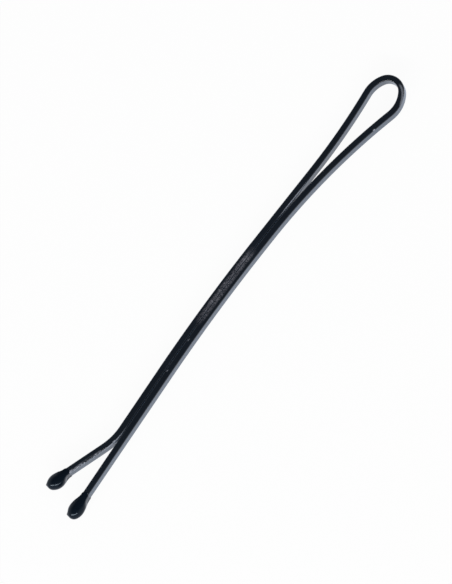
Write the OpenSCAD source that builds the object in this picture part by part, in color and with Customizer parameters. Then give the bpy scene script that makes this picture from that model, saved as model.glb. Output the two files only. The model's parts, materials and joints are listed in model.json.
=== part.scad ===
// Bobby pin: one flat spring-steel strip folded into a bow, with a straight fixed prong,
// a free prong that grips against it and flares open at its end, and two dipped tips.
// The pin lies on its edge: the fold's plan is in XY and the strip's width runs along Z.

/* [Strip] */
// Thickness of the flat wire, across the faces that grip the hair
strip_t = 0.64; // [0.56:0.02:0.72]
// Width of the flat wire, from one edge to the other
strip_w = 1.40; // [1.20:0.05:1.60]
// Radius that the rolled wire keeps along its four corners
corner_r = 0.12; // [0.06:0.01:0.18]

/* [Bow] */
// Radius of the crown, to the middle of the strip
crown_r = 1.43; // [1.30:0.01:1.55]
// Angle that the crown turns through on the free prong's side
free_crown_turn = 58; // [56:0.5:62]
// Angle that it turns through on the fixed prong's side
fixed_crown_turn = 54; // [54:0.5:60]
// Radius of the two flatter shoulders, to the middle of the strip
shoulder_r = 3.10; // [2.80:0.05:3.60]
// Angle at which the free prong leaves the bow, against the seam between the prongs
free_lead_turn = 7.7; // [6.5:0.1:9.0]
// Angle at which the fixed prong leaves the bow
fixed_lead_turn = 13.3; // [12.0:0.1:15.0]
// Distance from the seam down to the crown's centre, towards the fixed prong
bow_drop = 0.66; // [0.50:0.01:0.80]

/* [Prongs] */
// Length of the pin, from the crown to the end of the fixed prong's tip
pin_l = 55.3; // [50.0:0.1:60.0]
// Clearance between the two prongs where they bear on each other
grip_gap = 0.05; // [0.04:0.01:0.10]
// Shortest level stretch between a prong's lead and the arch
level_l = 1.4; // [0.4:0.1:2.4]
// Radius of the gentle arch that both prongs follow, along their seam
arch_r = 205; // [170:5:240]
// Angle that the arch turns through
arch_turn = 4.5; // [3.8:0.1:5.2]
// Inside radius of the bend where the free prong flares away
flare_r = 6.3; // [5.3:0.1:7.3]
// Angle that the free prong flares away by
flare_turn = 23.0; // [19:0.5:27]
// Length of the fixed prong from beside that bend to the end of its tip
fixed_end_l = 10.4; // [9.0:0.1:11.5]
// Length of the free prong from its bend to the end of its tip
free_end_l = 6.9; // [6.0:0.1:8.0]

/* [Tips] */
// Distance that the dipped tips stand proud of the strip's edges
tip_rise = 0.10; // [0.08:0.01:0.20]
// Distance from a tip's end to its widest place
tip_nose_l = 1.10; // [1.00:0.05:1.25]
// Radius of a tip's round end
tip_end_r = 0.65; // [0.50:0.05:0.65]
// Length of the fixed prong's tip, from its end to its neck
fixed_tip_l = 2.9; // [2.6:0.1:3.3]
// Length of the free prong's tip, from its end to its neck
free_tip_l = 2.6; // [2.4:0.1:3.0]
// Distance that the fixed prong's drop hangs off the strip's middle, towards the seam
fixed_drop_shift = 0.06; // [0:0.01:0.10]
// The same for the free prong's drop
free_drop_shift = 0.10; // [0:0.01:0.10]
// Thickness of the coating that wraps the strip at a tip's neck
film_t = 0.05; // [0.03:0.01:0.07]
// Length of strip that the coating wraps past the neck
film_l = 0.2; // [0.1:0.1:0.5]
// Distance from a tip's end to the end of the strip inside it
strip_setback = 1.00; // [0.90:0.05:1.10]
// Height of the small drip that dried on a tip's end
nib_h = 0.11; // [0.05:0.01:0.25]
// Radius of the drip's point
nib_r = 0.07; // [0.05:0.01:0.10]
// Lean of the drip towards the free prong's side, on the fixed prong's tip
fixed_nib_lean = 46; // [0:1:60]
// The same for the free prong's tip
free_nib_lean = 24; // [0:1:60]

/* [Hidden] */
$fn = 64;

// How far a faceted bend may lie from its true arc, and facets in each rounded corner
chord_error = 0.003;
corner_facets = 3;

// Side of the seam that a prong lies on: the free prong above it, the fixed prong below it
FREE = 1;
FIXED = -1;

// Step from the seam to the middle of each prong, diameter of the dipped tips at their widest,
// and height of the strip's middle above the base
half_step = (strip_t + grip_gap) / 2;
tip_d = strip_w + 2 * tip_rise;
mid_z = tip_d / 2;

function unit(angle) = [cos(angle), sin(angle)];

// A path is a list of stretches: [0, length] runs straight, and [radius, turn] bends left,
// or right where its radius is negative. A frame is [x, y, heading].
function beyond(frame, stretch) =
    let (r = stretch[0], turn = sign(r) * stretch[1])
    r == 0
        ? concat([frame.x, frame.y] + stretch[1] * unit(frame.z), frame.z)
        : concat(
            [frame.x, frame.y] + r * (unit(frame.z + 90) - unit(frame.z + turn + 90)),
            frame.z + turn
        );
function path_end(frame, path, i = 0) =
    i == len(path) ? frame : path_end(beyond(frame, path[i]), path, i + 1);

// The bow is a tight crown between two flatter shoulders.
// Frames and paths start from the crown's centre, with the fixed prong's side mirrored.
function crown_turn(side) = side == FREE ? free_crown_turn : fixed_crown_turn;
function lead_turn(side) = side == FREE ? free_lead_turn : fixed_lead_turn;
function crown_end(side) = concat(crown_r * unit(crown_turn(side)), crown_turn(side) + 90);
function shoulder(side) = [shoulder_r, 90 + lead_turn(side) - crown_turn(side)];
function shoulder_end(side) = beyond(crown_end(side), shoulder(side));

// Each lead is one arc that comes off its shoulder and meets the seam's direction without a corner
function lead_rise(side) = shoulder_end(side).y - side * bow_drop - half_step;
function lead_r(side) = lead_rise(side) / (1 - cos(lead_turn(side)));
function lead_reach(side) = lead_r(side) * sin(lead_turn(side)) - shoulder_end(side).x;

// The seam starts where the arch does, with X towards the bow
bow_x = level_l + max(lead_reach(FREE), lead_reach(FIXED));
crown_x = bow_x + crown_r + strip_t / 2;
grip_l = (pin_l - crown_x - arch_r * sin(arch_turn)) / cos(arch_turn) - fixed_end_l;

function prong_path(side) = concat(
    [
        shoulder(side),
        [-lead_r(side), lead_turn(side)],
        [0, bow_x - lead_reach(side)],
        [side * arch_r + half_step, arch_turn],
        [0, grip_l],
    ],
    side == FREE
        ? [[-(flare_r + strip_t / 2), flare_turn], [0, free_end_l - strip_setback]]
        : [[0, fixed_end_l - strip_setback]]
);

// Radius of the side of a tip's nose, which touches its round end and is parallel at its widest,
// and distance from the middle of the round end to the middle of the drip's point
nose_side_r = (pow(tip_nose_l - tip_end_r, 2) + pow(tip_d / 2, 2) - pow(tip_end_r, 2))
    / (tip_d - 2 * tip_end_r);
nib_l = tip_end_r + nib_h - nib_r;

// Places of the strips' ends against the crown's centre, of points on the middle line of a
// prong's drop, and of the pin's four sides. The shoulder is at its highest where it heads
// straight back, and the side of the nose where it is parallel to the seam.
function prong_end(side) = path_end(crown_end(side), prong_path(side));
function drop_shift(side) = side == FREE ? free_drop_shift : fixed_drop_shift;
function in_drop(side, from_end) =
    let (end = prong_end(side))
    [end.x, end.y]
        + (strip_setback - from_end) * unit(end.z)
        + drop_shift(side) * unit(end.z + 90);
function tip_top(side) =
    in_drop(side, tip_nose_l).y
        + nose_side_r + (nose_side_r - tip_d / 2) * cos(prong_end(side).z);
function shoulder_top(side) =
    beyond(crown_end(side), [shoulder_r, 90 - crown_turn(side)]).y + strip_t / 2;
function outermost(side) = max(tip_top(side), shoulder_top(side));
function nib_reach(side, lean) = nib_r - nib_l * cos(prong_end(side).z - side * lean);
west = in_drop(FIXED, tip_end_r).x - max(tip_end_r, nib_reach(FIXED, fixed_nib_lean));
east = crown_r + strip_t / 2;
north = outermost(FREE);
south = -outermost(FIXED);

// The strip's cross-section, with its thickness along X
module strip_section(grow = 0) {
    t = strip_t + 2 * grow;
    w = strip_w + 2 * grow;
    r = corner_r + grow;
    square([t, w - 2 * r], center = true);
    square([t - 2 * r, w], center = true);
    for (x = [-1, 1], y = [-1, 1])
        translate([x * (t / 2 - r), y * (w / 2 - r)])
            circle(r);
}

// A straight run of the section along X
module straight_run(length, grow = 0) {
    rotate([90, 0, 90])
        linear_extrude(length)
            strip_section(grow);
}

// Frames along a path, one at the end of each straight and one at each facet of a bend
function facets(stretch) =
    stretch[0] == 0 ? 1 : ceil(stretch[1] / (2 * acos(1 - chord_error / abs(stretch[0]))));
function frames(frame, path, i = 0) =
    i == len(path)
        ? []
        : let (
            n = facets(path[i]),
            part = [path[i][0], path[i][1] / n]
        )
        concat(
            [for (k = [1:n]) beyond(frame, [part[0], part[1] * k])],
            frames(beyond(frame, path[i]), path, i + 1)
        );

// Corner points of the cross-section, [across the strip, along Z], in one loop
section_points = [
    for (corner = [0:3], k = [0:corner_facets])
        let (
            middle = [
                (corner == 0 || corner == 3 ? 1 : -1) * (strip_t / 2 - corner_r),
                (corner < 2 ? 1 : -1) * (strip_w / 2 - corner_r)
            ]
        )
        middle + corner_r * unit(90 * (corner + k / corner_facets))
];

// The strip swept along a path, from a frame
module sweep_strip(frame, path) {
    rings = concat([frame], frames(frame, path));
    n = len(section_points);
    points = [
        for (f = rings, p = section_points)
            concat([f.x, f.y] + p.x * unit(f.z - 90), p.y)
    ];
    sides = [
        for (j = [0:len(rings) - 2], i = [0:n - 1])
            let (next = (i + 1) % n)
            [j * n + i, (j + 1) * n + i, (j + 1) * n + next, j * n + next]
    ];
    start_face = [for (i = [0:n - 1]) i];
    end_face = [for (i = [n - 1:-1:0]) (len(rings) - 1) * n + i];
    polyhedron(points, concat([start_face, end_face], sides), convexity = 6);
}

// Puts the crown's centre in its place, with the part's origin under the middle of its box
module from_crown() {
    translate([-(east + west) / 2, -(north + south) / 2, mid_z])
        children();
}

// The same for one prong's side, which is mirrored for the fixed prong
module from_crown_of(side) {
    from_crown()
        mirror([0, side == FIXED ? 1 : 0, 0])
            children();
}

// The crown of the bow, from one shoulder to the other
module bow() {
    color("#17181c")
        from_crown()
            rotate(-fixed_crown_turn)
                rotate_extrude(angle = fixed_crown_turn + free_crown_turn)
                    translate([crown_r, 0])
                        strip_section();
}

module prong(side) {
    from_crown_of(side)
        sweep_strip(crown_end(side), prong_path(side));
}

module fixed_prong() {
    color("#1b1c20")
        prong(FIXED);
}

module free_prong() {
    color("#1b1c20")
        prong(FREE);
}

// Half of a drop's outline, with the radius along X and the distance from its end along Y.
// Its round end, the side of its nose, and the two equal arcs of its S-shaped taper to the neck
// touch without a corner.
module drop_outline(length) {
    widest = tip_d / 2;
    join_y = tip_end_r - tip_end_r * (tip_nose_l - tip_end_r) / (nose_side_r - tip_end_r);
    neck_r = strip_t / 2 + film_t;
    half_l = (length - tip_nose_l) / 2;
    half_h = (widest - neck_r) / 2;
    taper_r = (pow(half_l, 2) + pow(half_h, 2)) / (2 * half_h);
    intersection() {
        union() {
            translate([0, tip_end_r])
                circle(tip_end_r);
            intersection() {
                translate([widest - nose_side_r, tip_nose_l])
                    circle(nose_side_r);
                translate([0, join_y])
                    square([tip_d, tip_nose_l - join_y]);
            }
            intersection() {
                translate([widest - taper_r, tip_nose_l])
                    circle(taper_r);
                translate([0, tip_nose_l])
                    square([tip_d, half_l]);
            }
            difference() {
                translate([0, length - half_l])
                    square([widest - half_h, half_l]);
                translate([neck_r + taper_r, length])
                    circle(taper_r);
            }
        }
        square([tip_d, length]);
    }
}

// A dipped tip, from its end back along X, with a pocket where the strip is inside it
module dipped_tip(side, length, nib_lean) {
    neck_x = -length - film_l;
    difference() {
        union() {
            translate([0, drop_shift(side), 0]) {
                rotate([0, -90, 0])
                    rotate_extrude()
                        drop_outline(length);
                translate([-tip_end_r, 0, 0])
                    rotate(-side * nib_lean)
                        nib();
            }
            translate([neck_x, 0, 0])
                straight_run(-neck_x - tip_nose_l, film_t);
        }
        translate([neck_x - strip_t, 0, 0])
            straight_run(-neck_x + strip_t - strip_setback);
    }
}

// Puts its children at the end of a prong's tip, heading along the prong
module from_tip_end(side) {
    end = prong_end(side);
    from_crown_of(side)
        translate([end.x, end.y, 0])
            rotate(end.z)
                translate([strip_setback, 0, 0])
                    children();
}

// The small drip on a tip's end, from the middle of the tip's round end along X
module nib() {
    rotate([0, 90, 0])
        cylinder(h = nib_l, r1 = tip_end_r / 2, r2 = nib_r);
    translate([nib_l, 0, 0])
        sphere(nib_r);
}

module fixed_prong_tip() {
    color("#121418")
        from_tip_end(FIXED)
            dipped_tip(FIXED, fixed_tip_l, fixed_nib_lean);
}

module free_prong_tip() {
    color("#121418")
        from_tip_end(FREE)
            dipped_tip(FREE, free_tip_l, free_nib_lean);
}

fixed_prong();
bow();
free_prong();
fixed_prong_tip();
free_prong_tip();
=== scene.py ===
"""Looks of the bobby pin: a lacquered strip swept along the fold, dipped tips, studio and camera.

Lengths are in millimetres and angles in degrees, until place_point() turns a point into metres in
the part's own frame. The studio's lengths are in metres.
"""

import json
import math
from typing import NamedTuple

import bpy
from mathutils import Matrix, Vector, noise


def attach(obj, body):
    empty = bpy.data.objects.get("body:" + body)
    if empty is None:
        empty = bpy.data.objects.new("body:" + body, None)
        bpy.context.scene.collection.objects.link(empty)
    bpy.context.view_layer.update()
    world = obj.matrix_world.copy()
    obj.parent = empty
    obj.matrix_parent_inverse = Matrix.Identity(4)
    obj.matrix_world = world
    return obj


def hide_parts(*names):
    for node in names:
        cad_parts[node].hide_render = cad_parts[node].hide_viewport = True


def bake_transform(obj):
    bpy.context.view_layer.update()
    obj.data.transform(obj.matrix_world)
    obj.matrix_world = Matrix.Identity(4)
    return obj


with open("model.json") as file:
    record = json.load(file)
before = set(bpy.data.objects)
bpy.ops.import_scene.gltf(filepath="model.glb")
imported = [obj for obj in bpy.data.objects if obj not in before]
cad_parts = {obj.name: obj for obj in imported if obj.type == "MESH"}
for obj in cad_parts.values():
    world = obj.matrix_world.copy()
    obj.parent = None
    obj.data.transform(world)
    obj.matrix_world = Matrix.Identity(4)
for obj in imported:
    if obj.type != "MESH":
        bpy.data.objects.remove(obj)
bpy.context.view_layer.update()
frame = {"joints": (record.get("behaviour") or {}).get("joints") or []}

MM = 0.001
FREE = 1
FIXED = -1

# The strip, the bow and the prongs
STRIP_T = 0.64
STRIP_W = 1.40
CORNER_R = 0.12
EDGE_BULGE = 0.02
WAVINESS = 0.006
WAVES_PER_MM = 0.5
WAVES_APART = 3
CROWN_R = 1.43
CROWN_TURN = {FREE: 58, FIXED: 54}
SHOULDER_R = 3.10
LEAD_TURN = {FREE: 7.7, FIXED: 13.3}
BOW_DROP = 0.66
PIN_L = 55.3
GRIP_GAP = 0.05
LEVEL_L = 1.4
ARCH_R = 205
ARCH_TURN = 4.5
FLARE_R = 6.3
FLARE_TURN = 23.0
END_L = {FREE: 6.9, FIXED: 10.4}

# The dipped tips, whose edge on the strip is a film that thins out
TIP_D = 1.60
TIP_L = {FREE: 2.6, FIXED: 2.9}
TIP_NOSE_L = 1.10
TIP_END_R = 0.65
DROP_SHIFT = {FREE: 0.10, FIXED: 0.06}
STRIP_SETBACK = 1.00
FILM_T = 0.05
FILM_L = 0.2
FILM_EDGE_SINK = 0.01
FILM_FACE_SETBACK = 0.25
FILM_UNEVENNESS = 0.05
FILM_WAVES = Vector((3, 5))
NIB_H = 0.11
NIB_SPREAD = 32
NIB_LEAN = {FREE: 24, FIXED: 46}

# How finely the strip and the tips are meshed
SWEEP_STEP = 0.15
CORNER_STEPS = 6
STRIP_FLAT_POINTS = 6
TIP_FLAT_POINTS = 12
FLAT_SHARE = 0.94
FILM_RINGS = 6
TAPER_RINGS = 26
NOSE_RINGS = 30

# What follows from these sizes
HALF_STEP = (STRIP_T + GRIP_GAP) / 2
MID_Z = TIP_D / 2
NECK_R = STRIP_T / 2 + FILM_T
NECK_HALF_W = STRIP_W / 2 + FILM_T
CROWN_CENTRE = Vector(frame["joints"][0]["pos_m"]) / MM


class Mark(NamedTuple):
    """A mark on the lacquer, be it wear or painted light, by its limits along the pin and off the
    strip's middle.

    Off the middle is negative towards the seam between the prongs. A mark has its full strength
    between its limits, and fades out over a distance beyond them.
    """

    along: tuple
    across: tuple
    fade: tuple
    strength: float = 1
    ragged: bool = False


# Marks on the lacquer: how far down from the strip's edges they reach, a dull grey patch on the
# tops along the seam between the prongs, and the marks painted steel grey. The free prong has a
# chip and
# painted reflections: a ragged one along the flare's seam-side edge, and light lines on its inner
# wall where the prongs part, by the flare and by the lead. The fixed prong has two bare specks and
# a nick.
# The streak on the bow is a painted highlight: its limits along are angles about the crown's
# centre, and its middle moves across the strip from its start to its end.
SEAM_MARK_DEPTH = 0.25
EDGE_MARK_DEPTH = 0.08
SEAM_PATCH = Mark((-3.0, 3.8), (-HALF_STEP, 0.20 - HALF_STEP), fade=(1.6, 0.26))
# Painted reflection: a ragged steel-grey band along the free prong's seam-side edge at the flare.
RAGGED_FLARE_REFLECTION = Mark(
    (-25.2, -20.8), (-STRIP_T, -0.24), fade=(0.6, 0.16), strength=0.55, ragged=True
)
CHIP = Mark((-18.85, -18.85), (-STRIP_T, -0.26), fade=(0.16, 0.08))
# Painted reflection: a light line on the free prong's inner wall where the prongs part by the
# flare.
FLARE_SPLIT_REFLECTION = Mark((-19.2, -18.6), (-STRIP_T, -0.30), fade=(2.0, 0.04), strength=0.65)
# Painted reflection: the same light line where the prongs part by the lead.
LEAD_SPLIT_REFLECTION = Mark((10.6, 12.0), (-STRIP_T, -0.30), fade=(2.0, 0.04), strength=0.65)
FIRST_SPECK = Mark((-9.95, -9.95), (-0.12, -0.12), fade=(0.15, 0.07), strength=0.6)
SECOND_SPECK = Mark((-6.2, -6.2), (-0.10, -0.10), fade=(0.15, 0.07), strength=0.6)
NICK = Mark((22.0, 22.0), (0.26, STRIP_T), fade=(0.15, 0.08))
# Painted highlight: a steel-grey streak along the top edge of the bow.
HIGHLIGHT_STREAK = Mark((-95, -35), (-0.04, 0.04), fade=(15, 0.10), strength=0.35)
HIGHLIGHT_STREAK_START = 0.28
HIGHLIGHT_STREAK_END = 0.04
BARE_AND_PAINTED_MARKS = {
    FREE: [RAGGED_FLARE_REFLECTION, CHIP, FLARE_SPLIT_REFLECTION, LEAD_SPLIT_REFLECTION],
    FIXED: [FIRST_SPECK, SECOND_SPECK, NICK],
}
RAGS_PER_MM_ALONG = 4.5
RAGS_PER_MM_ACROSS = 6
RAG_CONTRAST = 1.6

# Colours and gloss: the dull grey seam patch, the steel grey of bare marks and painted highlights,
# the lacquer's haze, how far the coatings are clouded, and the white paper, which is slightly
# bluish in reflections and keeps a little of the pin's shadow
SEAM_PATCH_COLOR = (0.18, 0.18, 0.21, 1)
SEAM_PATCH_ROUGHNESS = 0.55
# Steel grey for the bare marks, and also for the painted highlights and reflections.
STEEL_AND_HIGHLIGHT_COLOR = (0.42, 0.45, 0.52, 1)
STEEL_AND_HIGHLIGHT_ROUGHNESS = 0.25
HAZE = 0.22
HAZE_ROUGHNESS = 0.4
HAZE_TINT = (0.25, 0.55, 1.0, 1)
THICK_COAT = 0.7
THIN_COAT = 1.3
SMOOTH_COAT = 0.6
ROUGH_COAT = 1.5
NOISE_MIDDLE = (0.35, 0.65)
PAPER_COLOR = (0.9, 0.9, 0.9, 1)
WHITE = (1, 1, 1, 1)
WHITE_IN_GLOSS = (0.87, 0.91, 1.0, 1)
WHITE_SHARE = 0.95

# The studio, in metres: its light falls from one level to another while a direction's height goes
# through a range, so it is white round the horizon and dark overhead
FLOOR_SIZE = 4
STUDIO_COLOR = (0.97, 0.98, 1.0, 1)
STUDIO_LEVELS = (1.0, 0.10)
DARKENING_HEIGHT = (0.25, 0.75)

# The camera, which looks at a point near the pin's middle from far away
CAMERA_AZIMUTH = -108.13
CAMERA_ELEVATION = 72.50
CAMERA_ROLL = 325.785
CAMERA_DISTANCE = 1200
CAMERA_AIM = Vector((-0.026, 0.153, 0.800))
PIXELS_PER_MM = 9.964
IMAGE_H = 584
SENSOR = 36


def unit(angle):
    """The direction at an angle from X."""
    return Vector((math.cos(math.radians(angle)), math.sin(math.radians(angle))))


def direction(azimuth, elevation):
    """The direction at an azimuth and an elevation, in space."""
    level = unit(azimuth) * math.cos(math.radians(elevation))
    return Vector((level.x, level.y, math.sin(math.radians(elevation))))


def smooth(share):
    """A smooth step from 0 to 1."""
    share = min(max(share, 0), 1)
    return share * share * (3 - 2 * share)


def between(value, low, high, margin):
    """1 between two limits, falling smoothly to 0 over a margin outside them."""
    return smooth((value - low) / margin + 1) * smooth((high - value) / margin + 1)


# Paths: a stretch is (radius, turn), or (0, length) where it is straight; a place is
# (point, heading), against the crown's centre, with the fixed prong's side mirrored


def beyond(place, stretch, share=1):
    """The place a share of the way along a stretch that starts at a place."""
    point, heading = place
    radius, amount = stretch
    if radius == 0:
        return point + share * amount * unit(heading), heading
    turn = math.copysign(amount * share, radius)
    return point + radius * (unit(heading + 90) - unit(heading + turn + 90)), heading + turn


def path_end(place, path):
    """The place at the end of a path that starts at a place."""
    for stretch in path:
        place = beyond(place, stretch)
    return place


def stretch_length(stretch):
    """The length of a stretch along its middle."""
    radius, amount = stretch
    return amount if radius == 0 else abs(radius) * math.radians(amount)


def places_along(place, path, step):
    """Places along a path, no further apart than a step."""
    places = [place]
    for stretch in path:
        count = max(1, math.ceil(stretch_length(stretch) / step))
        places += [beyond(place, stretch, (k + 1) / count) for k in range(count)]
        place = beyond(place, stretch)
    return places


def crown_end(side):
    """The place where the crown ends and a prong's shoulder starts."""
    return CROWN_R * unit(CROWN_TURN[side]), CROWN_TURN[side] + 90


def shoulder(side):
    """The stretch that turns a prong from the crown towards the tips."""
    return SHOULDER_R, 90 + LEAD_TURN[side] - CROWN_TURN[side]


def shoulder_end(side):
    """The point where a prong's shoulder ends and its lead starts."""
    return beyond(crown_end(side), shoulder(side))[0]


def lead_radius(side):
    """The radius at which a lead comes down from its shoulder onto the grip."""
    rise = shoulder_end(side).y - side * BOW_DROP - HALF_STEP
    return rise / (1 - math.cos(math.radians(LEAD_TURN[side])))


def lead_reach(side):
    """How far a lead ends from the crown's centre, towards the tips."""
    return lead_radius(side) * math.sin(math.radians(LEAD_TURN[side])) - shoulder_end(side).x


BOW_X = LEVEL_L + max(lead_reach(FREE), lead_reach(FIXED))
CROWN_X = BOW_X + CROWN_R + STRIP_T / 2
ARCH_X = ARCH_R * math.sin(math.radians(ARCH_TURN))
GRIP_L = (PIN_L - CROWN_X - ARCH_X) / math.cos(math.radians(ARCH_TURN)) - END_L[FIXED]


def prong_path(side):
    """A prong's stretches, from the crown to the end of the strip."""
    flare = [(-(FLARE_R + STRIP_T / 2), FLARE_TURN)] if side == FREE else []
    return [
        shoulder(side),
        (-lead_radius(side), LEAD_TURN[side]),
        (0, BOW_X - lead_reach(side)),
        (side * ARCH_R + HALF_STEP, ARCH_TURN),
        (0, GRIP_L),
        *flare,
        (0, END_L[side] - STRIP_SETBACK),
    ]


def place_point(point, height, side):
    """A point against the crown's centre, in metres in the part's frame."""
    x, y = point
    return Vector((CROWN_CENTRE.x + x, CROWN_CENTRE.y + side * y, MID_Z + height)) * MM


# Wear and painted light


def ragged(x, across):
    """What breaks a mark into streaks along the strip, from 0 to 1."""
    spot = Vector((RAGS_PER_MM_ALONG * x, RAGS_PER_MM_ACROSS * across, 0))
    return smooth(0.5 + RAG_CONTRAST * noise.noise(spot))


def mark_at(mark, along, across):
    """How strong a mark is at a place."""
    fade_along, fade_across = mark.fade
    strength = between(along, *mark.along, fade_along) * between(across, *mark.across, fade_across)
    if mark.ragged:
        strength *= ragged(along, across)
    return mark.strength * strength


def highlight_streak_at(point, across, side):
    """How strong the bow's painted highlight streak is at a place."""
    turn = math.degrees(math.atan2(side * point.y, point.x))
    share = (turn - HIGHLIGHT_STREAK.along[0]) / (HIGHLIGHT_STREAK.along[1] - HIGHLIGHT_STREAK.along[0])
    middle = HIGHLIGHT_STREAK_START + (HIGHLIGHT_STREAK_END - HIGHLIGHT_STREAK_START) * share
    return mark_at(HIGHLIGHT_STREAK, turn, across - middle)


def wear_and_light_at(point, spot, side):
    """How far a spot of the strip's outline is in the dull grey seam patch, and how far it is
    painted steel grey for a bare mark or a painted highlight, each from 0 to 1.
    """
    x = CROWN_CENTRE.x + point.x
    across, height = spot
    depth = STRIP_W / 2 - abs(height)
    if depth > (SEAM_MARK_DEPTH if across < 0 else EDGE_MARK_DEPTH):
        return 0, 0
    bare_and_lit = [mark_at(mark, x, across) for mark in BARE_AND_PAINTED_MARKS[side]]
    if depth <= EDGE_MARK_DEPTH:
        # The bow's painted highlight streak.
        bare_and_lit.append(highlight_streak_at(point, across, side))
    return mark_at(SEAM_PATCH, x, across), max(bare_and_lit)


# Meshes


def skin(name, rings, side, closed_end=None):
    """A mesh through rings of points, with the last ring closed on one point where that is given.

    The free prong's rings run the other way round than the fixed prong's, so its faces are flipped.
    """
    count = len(rings[0])
    points = [point for ring in rings for point in ring]
    faces = []
    for first in range(0, (len(rings) - 1) * count, count):
        for i in range(count):
            after = (i + 1) % count
            faces.append((first + i, first + after, first + count + after, first + count + i))
    if closed_end is not None:
        last = (len(rings) - 1) * count
        points.append(closed_end)
        faces += [(last + i, last + (i + 1) % count, len(points) - 1) for i in range(count)]
    mesh = bpy.data.meshes.new(name)
    mesh.from_pydata(points, [], faces)
    mesh.polygons.foreach_set("use_smooth", [True] * len(faces))
    if side == FREE:
        mesh.flip_normals()
    obj = bpy.data.objects.new(name, mesh)
    bpy.context.scene.collection.objects.link(obj)
    return obj


def paint(obj, name, values):
    """A number for each point of a mesh, that its material can read."""
    attribute = obj.data.attributes.new(name, "FLOAT", "POINT")
    attribute.data.foreach_set("value", values)


def strip_section(flat_points):
    """The strip's outline as (across, height) points: one half, then the half opposite to it."""
    flat_t = STRIP_T / 2 - CORNER_R
    flat_w = STRIP_W / 2 - CORNER_R - EDGE_BULGE
    turns = [90 * k / CORNER_STEPS for k in range(CORNER_STEPS + 1)]
    spread = [FLAT_SHARE * (1 - 2 * k / (flat_points - 1)) for k in range(flat_points)]
    half = [Vector((flat_t, flat_w)) + CORNER_R * unit(turn) for turn in turns]
    half += [Vector((s * flat_t, STRIP_W / 2 - EDGE_BULGE * s * s)) for s in spread]
    half += [Vector((-flat_t, flat_w)) + CORNER_R * unit(90 + turn) for turn in turns]
    half += [Vector((-STRIP_T / 2, s * flat_w)) for s in spread]
    return half + [-point for point in half]


def width_at(point, side):
    """The strip's width at a point, as a share of its size: rolling leaves it slightly wavy."""
    x, y = WAVES_PER_MM * point
    return 1 + WAVINESS * noise.noise(Vector((x, y, WAVES_APART * side)))


def sweep_strip(name, start, path, side):
    """The strip along a path, with its wear and its painted light marked on its points."""
    section = strip_section(STRIP_FLAT_POINTS)
    rings = []
    wear_and_light = []
    for point, heading in places_along(start, path, SWEEP_STEP):
        out = unit(heading - 90)
        width = width_at(point, side)
        rings.append([place_point(point + spot.x * out, spot.y * width, side) for spot in section])
        wear_and_light += [wear_and_light_at(point, spot, side) for spot in section]
    obj = skin(name, rings, side)
    seam_patch, bare_and_painted_light = zip(*wear_and_light)
    paint(obj, "seam_patch", seam_patch)
    paint(obj, "bare_and_painted_light", bare_and_painted_light)
    return obj


def drop_radius(d, length):
    """Radius of a drop at a distance from its end: round end, side of the nose, S-shaped taper."""
    widest = TIP_D / 2
    side_r = ((TIP_NOSE_L - TIP_END_R) ** 2 + widest**2 - TIP_END_R**2) / (2 * (widest - TIP_END_R))
    join = TIP_END_R - TIP_END_R * (TIP_NOSE_L - TIP_END_R) / (side_r - TIP_END_R)
    half_l = (length - TIP_NOSE_L) / 2
    half_h = (widest - NECK_R) / 2
    taper_r = (half_l**2 + half_h**2) / (2 * half_h)
    if d < join:
        return math.sqrt(max(TIP_END_R**2 - (TIP_END_R - d) ** 2, 0))
    if d < TIP_NOSE_L:
        return widest - side_r + math.sqrt(side_r**2 - (TIP_NOSE_L - d) ** 2)
    if d < TIP_NOSE_L + half_l:
        return widest - taper_r + math.sqrt(taper_r**2 - (d - TIP_NOSE_L) ** 2)
    if d < length:
        return NECK_R + taper_r - math.sqrt(taper_r**2 - (length - d) ** 2)
    return NECK_R


def tip_stations(length):
    """Distances from a tip's end to its rings, from the film's edge on the strip to the nose."""
    film = [length + FILM_L * (1 - k / FILM_RINGS) for k in range(FILM_RINGS)]
    taper = [TIP_NOSE_L + (length - TIP_NOSE_L) * (1 - k / TAPER_RINGS) for k in range(TAPER_RINGS)]
    nose = [TIP_NOSE_L * (1 - unit(90 * k / NOSE_RINGS).y) for k in range(NOSE_RINGS)]
    return film + taper + nose


def tip_ring(d, side):
    """A tip's outline at a distance from its end, as (from the end, across, height) points.

    It is round at the nose and the strip's own shape at the neck. Past the neck the film thins out
    to an edge that stops earlier on the strip's wide faces and that the dipping left uneven.
    """
    length = TIP_L[side]
    to_neck = smooth((d - TIP_NOSE_L) / (length - TIP_NOSE_L))
    thinned = min(max((d - length) / FILM_L, 0), 1) ** 2 * (FILM_T + FILM_EDGE_SINK)
    half_t = drop_radius(d, length) - thinned
    half_w = TIP_D / 2 + (NECK_HALF_W - TIP_D / 2) * to_neck - thinned
    if d < TIP_NOSE_L:
        half_w = min(half_w, half_t)
    shift = DROP_SHIFT[side] * (1 - to_neck)
    points = []
    for on_strip in strip_section(TIP_FLAT_POINTS):
        boxy = Vector((on_strip.x / STRIP_T, on_strip.y / STRIP_W)) * 2
        rounded = boxy.normalized()
        outline = rounded.lerp(boxy, to_neck)
        uneven = FILM_UNEVENNESS * math.sin(FILM_WAVES.dot(boxy))
        back = to_neck**3 * (FILM_FACE_SETBACK * rounded.x**2 + uneven)
        points.append((d - back, outline.x * half_t + shift, outline.y * half_w))
    return points


def with_nib(point, lean):
    """A point of the nose, drawn out where the coating's last drop dried in a small point."""
    toward = Vector((*unit(lean), 0))
    angle = math.degrees(point.angle(toward))
    if angle > NIB_SPREAD:
        return point
    return point * (1 + NIB_H / TIP_END_R * (1 - angle / NIB_SPREAD) ** 2)


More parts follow.
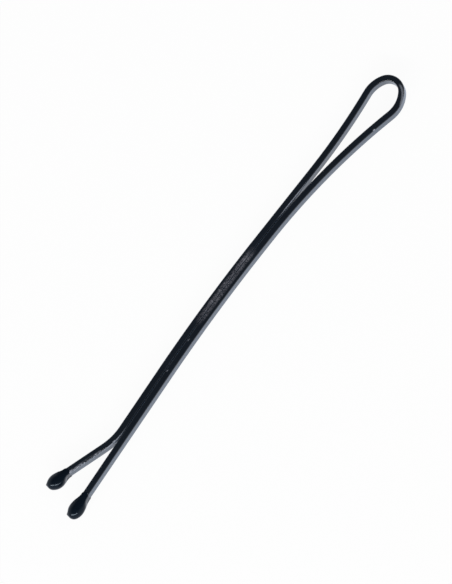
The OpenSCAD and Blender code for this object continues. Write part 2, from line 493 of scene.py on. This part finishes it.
def dipped_tip(name, side):
    """A dipped tip on the end of a prong, hanging a little off the strip's middle."""
    end, heading = path_end(crown_end(side), prong_path(side))
    along = unit(heading)
    toward_seam = unit(heading + 90)
    shift = DROP_SHIFT[side]
    nose = end + (STRIP_SETBACK - TIP_END_R) * along + shift * toward_seam

    def put(from_end, across, height):
        """A point of the tip in the part's frame, with the nib on its nose."""
        off_nose = Vector((TIP_END_R - from_end, across - shift, height))
        ahead, left, up = with_nib(off_nose, -side * NIB_LEAN[side])
        return place_point(nose + ahead * along + left * toward_seam, up, side)

    rings = [[put(*point) for point in tip_ring(d, side)] for d in tip_stations(TIP_L[side])]
    return skin(name, rings, side, closed_end=put(0, shift, 0))


# Materials


def new_material(name):
    """A material with nodes, and its node tree."""
    material = bpy.data.materials.new(name)
    material.use_nodes = True
    return material, material.node_tree


def feed(tree, socket, value):
    """Links an output to an input socket, or sets the input to a plain number or colour."""
    if isinstance(value, bpy.types.NodeSocket):
        tree.links.new(value, socket)
    else:
        socket.default_value = value


def noise_node(tree, where, size, detail):
    """A noise texture whose lumps have a size in millimetres."""
    texture = tree.nodes.new("ShaderNodeTexNoise")
    texture.inputs["Scale"].default_value = 1 / (size * MM)
    texture.inputs["Detail"].default_value = detail
    tree.links.new(where, texture.inputs["Vector"])
    return texture.outputs["Fac"]


def range_node(tree, source, from_range, to_range):
    """A number that goes from one value to another while its source goes through a range."""
    node = tree.nodes.new("ShaderNodeMapRange")
    limits = zip(("From Min", "From Max", "To Min", "To Max"), (*from_range, *to_range))
    for name, limit in limits:
        node.inputs[name].default_value = limit
    tree.links.new(source, node.inputs["Value"])
    return node.outputs["Result"]


def mix_node(tree, kind, share, first, second):
    """A mix of two colours or numbers by a share."""
    node = tree.nodes.new("ShaderNodeMix")
    node.data_type = kind
    sockets = [socket for socket in node.inputs if socket.enabled]
    for socket, value in zip(sockets, (share, first, second)):
        feed(tree, socket, value)
    return next(socket for socket in node.outputs if socket.enabled)


def math_node(tree, operation, first, second):
    """The result of an operation on two numbers."""
    node = tree.nodes.new("ShaderNodeMath")
    node.operation = operation
    feed(tree, node.inputs[0], first)
    feed(tree, node.inputs[1], second)
    return node.outputs[0]


def mark_node(tree, mark):
    """What was painted on a mesh under a name."""
    node = tree.nodes.new("ShaderNodeAttribute")
    node.attribute_name = mark
    return node.outputs["Fac"]


def gloss_black(name, color, roughness, peel, ior, tint):
    """Gloss black coating, faintly clouded, with an orange-peel surface."""
    material, tree = new_material(name)
    shader = tree.nodes["Principled BSDF"]
    shader.inputs["IOR"].default_value = ior
    shader.inputs["Specular Tint"].default_value = tint
    where = tree.nodes.new("ShaderNodeTexCoord").outputs["Object"]

    clouding = noise_node(tree, where, size=2.5, detail=3)
    thick = (*[THICK_COAT * c for c in color], 1)
    thin = (*[THIN_COAT * c for c in color], 1)
    tree.links.new(mix_node(tree, "RGBA", clouding, thick, thin), shader.inputs["Base Color"])

    clouds = noise_node(tree, where, size=1.2, detail=4)
    range_of_gloss = (SMOOTH_COAT * roughness, ROUGH_COAT * roughness)
    gloss = range_node(tree, clouds, NOISE_MIDDLE, range_of_gloss)
    tree.links.new(gloss, shader.inputs["Roughness"])

    bump = tree.nodes.new("ShaderNodeBump")
    bump.inputs["Distance"].default_value = peel * MM
    tree.links.new(noise_node(tree, where, size=0.45, detail=2), bump.inputs["Height"])
    tree.links.new(bump.outputs["Normal"], shader.inputs["Normal"])
    return material


def add_wear_and_light(tree):
    """Gives the lacquer its dull grey seam patch, and the steel grey of its bare marks and of its
    painted highlights and reflections.
    """
    shader = tree.nodes["Principled BSDF"]
    where = tree.nodes.new("ShaderNodeTexCoord").outputs["Object"]
    grain = range_node(tree, noise_node(tree, where, size=0.12, detail=4), NOISE_MIDDLE, (0, 1))
    patches = range_node(tree, noise_node(tree, where, size=0.8, detail=2), NOISE_MIDDLE, (0.5, 1))
    in_seam_patch = math_node(tree, "MULTIPLY", mark_node(tree, "seam_patch"), patches)
    in_seam_patch = math_node(tree, "MULTIPLY", in_seam_patch, grain)
    # Bare marks and painted highlights and reflections, all painted steel grey.
    bare_and_lit = mark_node(tree, "bare_and_painted_light")
    for name, kind, when_in_seam_patch, when_bare_and_lit in (
        ("Base Color", "RGBA", SEAM_PATCH_COLOR, STEEL_AND_HIGHLIGHT_COLOR),
        ("Roughness", "FLOAT", SEAM_PATCH_ROUGHNESS, STEEL_AND_HIGHLIGHT_ROUGHNESS),
    ):
        coat = shader.inputs[name].links[0].from_socket
        dull = mix_node(tree, kind, in_seam_patch, coat, when_in_seam_patch)
        tree.links.new(mix_node(tree, kind, bare_and_lit, dull, when_bare_and_lit), shader.inputs[name])


def lacquer_material():
    """The wire's black lacquer, with a bluish haze, its wear, and its painted highlights and
    reflections.
    """
    color = (0.004, 0.007, 0.012)
    material = gloss_black("black_lacquer", color, roughness=0.12, peel=0.003, ior=1.54, tint=WHITE)
    add_wear_and_light(material.node_tree)
    shader = material.node_tree.nodes["Principled BSDF"]
    shader.inputs["Sheen Roughness"].default_value = HAZE_ROUGHNESS
    shader.inputs["Sheen Tint"].default_value = HAZE_TINT
    shader.inputs["Sheen Weight"].default_value = HAZE
    return material


def resin_material():
    """The tips' black resin, glossier than the lacquer and with a weaker, bluish reflection."""
    color = (0.003, 0.006, 0.011)
    tint = (0.7, 0.85, 1.0, 1)
    return gloss_black("dipped_resin", color, roughness=0.09, peel=0.004, ior=1.27, tint=tint)


def floor_material():
    """White paper that shows as white to the eye and in gloss, and still takes the pin's shadow."""
    material, tree = new_material("white_paper")
    tree.nodes.remove(tree.nodes["Principled BSDF"])
    paper = tree.nodes.new("ShaderNodeBsdfDiffuse")
    paper.inputs["Color"].default_value = PAPER_COLOR
    white = tree.nodes.new("ShaderNodeEmission")
    rays = tree.nodes.new("ShaderNodeLightPath").outputs
    tone = mix_node(tree, "RGBA", rays["Is Glossy Ray"], WHITE, WHITE_IN_GLOSS)
    tree.links.new(tone, white.inputs["Color"])
    seen = math_node(tree, "MAXIMUM", rays["Is Camera Ray"], rays["Is Glossy Ray"])
    mix = tree.nodes.new("ShaderNodeMixShader")
    tree.links.new(math_node(tree, "MULTIPLY", seen, WHITE_SHARE), mix.inputs["Fac"])
    tree.links.new(paper.outputs[0], mix.inputs[1])
    tree.links.new(white.outputs[0], mix.inputs[2])
    tree.links.new(mix.outputs[0], tree.nodes["Material Output"].inputs["Surface"])
    return material


# Pieces


def dress(obj, node, body, material):
    """Makes a piece stand for a node, and ride on a body unless it is to blend across the joint."""
    obj.data.materials.append(material)
    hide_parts(node)
    if body is not None:
        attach(obj, body)


def make_prongs(lacquer):
    """The two prongs, each from the crown to the end of its strip."""
    fixed_wire = sweep_strip("fixed_wire", crown_end(FIXED), prong_path(FIXED), FIXED)
    dress(fixed_wire, "fixed_prong", "fixed_side", lacquer)
    free_wire = sweep_strip("free_wire", crown_end(FREE), prong_path(FREE), FREE)
    dress(free_wire, "free_prong", "free_side", lacquer)


def make_crown(lacquer):
    """The crown of the bow, which bends between the two prongs as the pin opens."""
    crown_start = (CROWN_R * unit(-CROWN_TURN[FIXED]), 90 - CROWN_TURN[FIXED])
    crown_bend = (CROWN_R, CROWN_TURN[FIXED] + CROWN_TURN[FREE])
    crown = sweep_strip("crown_wire", crown_start, [crown_bend], FREE)
    dress(crown, "bow", None, lacquer)
    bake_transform(crown)


def make_tips(resin):
    """The dipped tips on the ends of the prongs."""
    fixed_tip = dipped_tip("fixed_tip", FIXED)
    dress(fixed_tip, "fixed_prong_tip", "fixed_side", resin)
    free_tip = dipped_tip("free_tip", FREE)
    dress(free_tip, "free_prong_tip", "free_side", resin)


# Studio


def make_floor():
    """The paper that the pin lies on."""
    bpy.ops.mesh.primitive_plane_add(size=FLOOR_SIZE)
    floor = bpy.context.object
    floor.name = "floor"
    floor.data.materials.append(floor_material())


def make_world():
    """The room round the pin."""
    world = bpy.data.worlds.new("studio")
    bpy.context.scene.world = world
    world.use_nodes = True
    tree = world.node_tree
    where = tree.nodes.new("ShaderNodeTexCoord")
    split = tree.nodes.new("ShaderNodeSeparateXYZ")
    tree.links.new(where.outputs["Generated"], split.inputs[0])
    level = range_node(tree, split.outputs["Z"], DARKENING_HEIGHT, STUDIO_LEVELS)
    background = tree.nodes["Background"]
    tree.links.new(level, background.inputs["Strength"])
    background.inputs["Color"].default_value = STUDIO_COLOR


def add_softbox(name, azimuth, elevation, distance, width, height, power):
    """An area light that faces the pin's middle."""
    data = bpy.data.lights.new(name, "AREA")
    data.shape = "RECTANGLE"
    data.size = width
    data.size_y = height
    data.energy = power
    light = bpy.data.objects.new(name, data)
    bpy.context.scene.collection.objects.link(light)
    toward = direction(azimuth, elevation)
    light.location = toward * distance
    light.rotation_mode = "QUATERNION"
    light.rotation_quaternion = toward.to_track_quat("Z", "Y")


def make_lights():
    """A long thin softbox that streaks the tips, and a small weak one from the other side."""
    add_softbox("key", azimuth=-152, elevation=30, distance=0.6, width=0.90, height=0.08, power=4.0)
    add_softbox("fill", azimuth=-30, elevation=40, distance=0.7, width=0.10, height=0.10, power=0.5)


def make_camera():
    """The camera at the photograph's angle, so far away that it sees almost no perspective."""
    data = bpy.data.cameras.new("camera")
    data.sensor_width = SENSOR
    data.lens = PIXELS_PER_MM * CAMERA_DISTANCE / IMAGE_H * SENSOR
    camera = bpy.data.objects.new("camera", data)
    bpy.context.scene.collection.objects.link(camera)
    back = direction(CAMERA_AZIMUTH, CAMERA_ELEVATION)
    level_right = Vector((0, 0, 1)).cross(back).normalized()
    level_up = back.cross(level_right)
    roll = unit(CAMERA_ROLL)
    right = roll.x * level_right + roll.y * level_up
    up = roll.x * level_up - roll.y * level_right
    turn = Matrix((right, up, back)).transposed()
    place = Matrix.Translation((CAMERA_AIM + back * CAMERA_DISTANCE) * MM)
    camera.matrix_world = place @ turn.to_4x4()
    bpy.context.scene.camera = camera


make_camera()
lacquer = lacquer_material()
make_prongs(lacquer)
make_crown(lacquer)
make_tips(resin_material())
make_floor()
make_world()
make_lights()
bpy.context.scene.view_settings.view_transform = "Standard"
